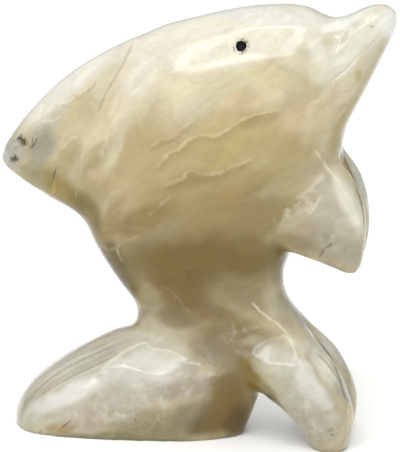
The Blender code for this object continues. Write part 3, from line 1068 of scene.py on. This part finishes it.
# %% [markdown]
# ## The onyx
#
# Polished onyx is three things at once. Light sinks in a little and comes out
# warm, which is the subsurface part. The ground of the stone has a soft sheen,
# and the wax polish over it gives a second, sharp reflection, which is the
# coat. The colour is built up in the order in which the stone grew: clouds,
# layers, crystals, then the seams and flaws across them.

# %% Clouds, layers and crystals
onyx, nodes, shader = new_material("banded_onyx")
place = nodes.add("ShaderNodeTexCoord").outputs["Object"]
LAYERS_TURN = (0.1, math.radians(-33), 0.08)
LAYERS_STRETCH = (2.0, 1.2, 0.8)
FLAKES_TO_THE_METRE = 520.0
IRON_STAIN = stone(146, 120, 66)
FROST_WHITE = stone(236, 232, 218)


def kept(name, output="Fac"):
    """What the skin keeps at each point under a name."""
    return nodes.add("ShaderNodeAttribute", attribute_name=name).outputs[output]


turned = {"Rotation": LAYERS_TURN, "Scale": LAYERS_STRETCH}
along_layers = nodes.add("ShaderNodeMapping", place, inputs=turned, vector_type="TEXTURE").outputs["Vector"]
mist = nodes.grain(along_layers, 110, detail=6, roughness=0.6, distortion=0.9)
iron = nodes.grain(place, 80, detail=5, roughness=0.6, distortion=1.2)
fibre = nodes.grain(along_layers, 300, detail=4, roughness=0.6, distortion=0.8)
fine = nodes.grain(place, 900, detail=4, roughness=0.6)
base = kept("stone_colour", "Color")
base = nodes.blend(nodes.ramp(iron, 0.5, 0.74, 0, 0.2), base, IRON_STAIN)
shade = nodes.product(
    nodes.ramp(fibre, 0.25, 0.75, 0.93, 1.06),
    nodes.ramp(fine, 0.25, 0.75, 0.97, 1.03),
    nodes.ramp(mist, 0.3, 0.72, 0.96, 1.12),
)
grey = nodes.add("ShaderNodeCombineColor", shade, shade, shade).outputs[0]
base = nodes.blend(1.0, base, grey, how="MULTIPLY")
flakes = nodes.add("ShaderNodeTexVoronoi", inputs={"Vector": place, "Scale": FLAKES_TO_THE_METRE})
flake_light = nodes.add("ShaderNodeSeparateColor", flakes.outputs["Color"]).outputs[0]
flake_patch = nodes.ramp(nodes.grain(place, 260, detail=5, roughness=0.7), 0.38, 0.72)
frost = nodes.product(kept("crystals"), flake_patch, nodes.ramp(flake_light, 0, 1, 0.2, 0.85))
base = nodes.blend(frost, base, FROST_WHITE)
print("clouds, layers and crystals:", len(nodes.tree.nodes), "nodes")

# %% Seams: a shade below, a dark edge and a pale line
SEAM_SHADE, SEAM_SHADE_SHARE = stone(150, 126, 74), 0.4
SEAM_EDGE, SEAM_EDGE_SHARE = stone(138, 108, 62), 0.22
SEAM_PALE, SEAM_PALE_SHARE = stone(230, 214, 178), 0.4
wobble = nodes.grain(place, 650, detail=4, roughness=0.7)
broken = nodes.ramp(nodes.grain(place, 330, detail=3), 0.34, 0.56, 0.15, 1.0)
seam_place = nodes.math("ADD", kept("seam_gap"), nodes.math("MULTIPLY_ADD", wobble, 1.5, -0.75))
seam_share = kept("seam_share")


def between(value, rise, fall):
    """1 from the end of the rise to the start of the fall, and 0 outside both."""
    return nodes.product(nodes.ramp(value, *rise), nodes.ramp(value, *fall, 1, 0))


below = nodes.product(between(seam_place, (0.0, 0.3), (0.4, 2.4)), seam_share, SEAM_SHADE_SHARE)
base = nodes.blend(below, base, SEAM_SHADE)
edge = nodes.product(between(seam_place, (0.12, 0.3), (0.3, 0.6)), seam_share)
base = nodes.blend(nodes.product(edge, nodes.product(broken, SEAM_EDGE_SHARE)), base, SEAM_EDGE)
pale = nodes.product(nodes.ramp(nodes.math("ABSOLUTE", seam_place), 0.02, 0.6, 1, 0), seam_share)
base = nodes.blend(nodes.product(pale, nodes.product(broken, SEAM_PALE_SHARE)), base, SEAM_PALE)
print("with the seams:", len(nodes.tree.nodes), "nodes")

# %% Streaks and painted highlights, flaws and painted shade, and the painted shade lines
STREAK_AND_HIGHLIGHT_PALE, STREAK_AND_HIGHLIGHT_SHARE = stone(244, 238, 220), 0.8
FLAW_AND_SHADE_BROWN = stone(80, 68, 46)
SHADE_LINE_OLIVE = stone(88, 84, 62)
ragged = nodes.math("MULTIPLY_ADD", wobble, 2.4, -1.2)


def ragged_line(name, core):
    """How strongly the kept lines show: full within the core, none past one half width."""
    gap = nodes.math("ABSOLUTE", nodes.math("ADD", kept(f"{name}_gap"), ragged))
    return nodes.product(kept(f"{name}_share"), nodes.ramp(gap, core, 1.0, 1, 0), broken)


# Pale streaks, and painted highlights along ridges and edges.
base = nodes.blend(nodes.product(ragged_line("streak_and_highlight", 0.0), STREAK_AND_HIGHLIGHT_SHARE), base, STREAK_AND_HIGHLIGHT_PALE)
# Brown flaws, with painted shade in a chip and a groove.
base = nodes.blend(ragged_line("flaw_and_shade", 0.05), base, FLAW_AND_SHADE_BROWN)
# Painted shade: the dark lines in gaps, along rims and across the back of the foot.
shade_line_gap = nodes.math("ABSOLUTE", kept("shade_line_gap"))
shade_line = nodes.product(kept("shade_line_share"), nodes.ramp(shade_line_gap, 0.2, 1.3, 1, 0))
base = nodes.blend(shade_line, base, SHADE_LINE_OLIVE)
print("with the other lines:", len(nodes.tree.nodes), "nodes")

# %% The smudge of paint round the eye
SMUDGE_BLACK, SMUDGE_SHARE = stone(60, 58, 50), 0.85
SMUDGE_RISE, SMUDGE_FALL = (0.7, 1.0), (1.5, 2.3)
specks = nodes.ramp(nodes.grain(place, 1300, detail=3, roughness=0.75), 0.42, 0.6, 0.1, 1.0)
spots = nodes.ramp(nodes.grain(place, 420, detail=1), 0.38, 0.58, 0.15, 1.0)
smudge = between(kept("eye_gap"), SMUDGE_RISE, SMUDGE_FALL)
smudge = nodes.product(smudge, nodes.product(specks, spots), SMUDGE_SHARE)
base = nodes.blend(smudge, base, SMUDGE_BLACK)
print("with the smudge:", len(nodes.tree.nodes), "nodes")

# %% Polish
POLISH = {
    "IOR": 1.6,
    "Specular IOR Level": 0.06,
    "Coat Weight": 1.0,
    "Coat IOR": 1.42,
    "Coat Roughness": 0.1,
    "Subsurface Weight": 0.3,
    "Subsurface Radius": (1.0, 0.75, 0.45),
    "Subsurface Scale": 0.003,
}
BUMP = {"Strength": 0.16, "Distance": 0.0003}
FINE_RIPPLE_SHARE = 0.12
for socket, value in POLISH.items():
    shader.inputs[socket].default_value = value
coarse_ripple = nodes.grain(place, 260, detail=2)
fine_ripple = nodes.grain(place, 1500, detail=2)
ripple = nodes.math("ADD", coarse_ripple, nodes.product(fine_ripple, FINE_RIPPLE_SHARE))
bump = nodes.add("ShaderNodeBump", inputs={**BUMP, "Height": ripple}).outputs["Normal"]
nodes.give(shader, "Base Color", base)
nodes.give(shader, "Roughness", nodes.ramp(mist, 0.3, 0.7, 0.24, 0.36))
nodes.give(shader, "Normal", bump)
nodes.give(shader, "Coat Normal", bump)
skin.materials.clear()
skin.materials.append(onyx)
print("onyx has", len(nodes.tree.nodes), "nodes")
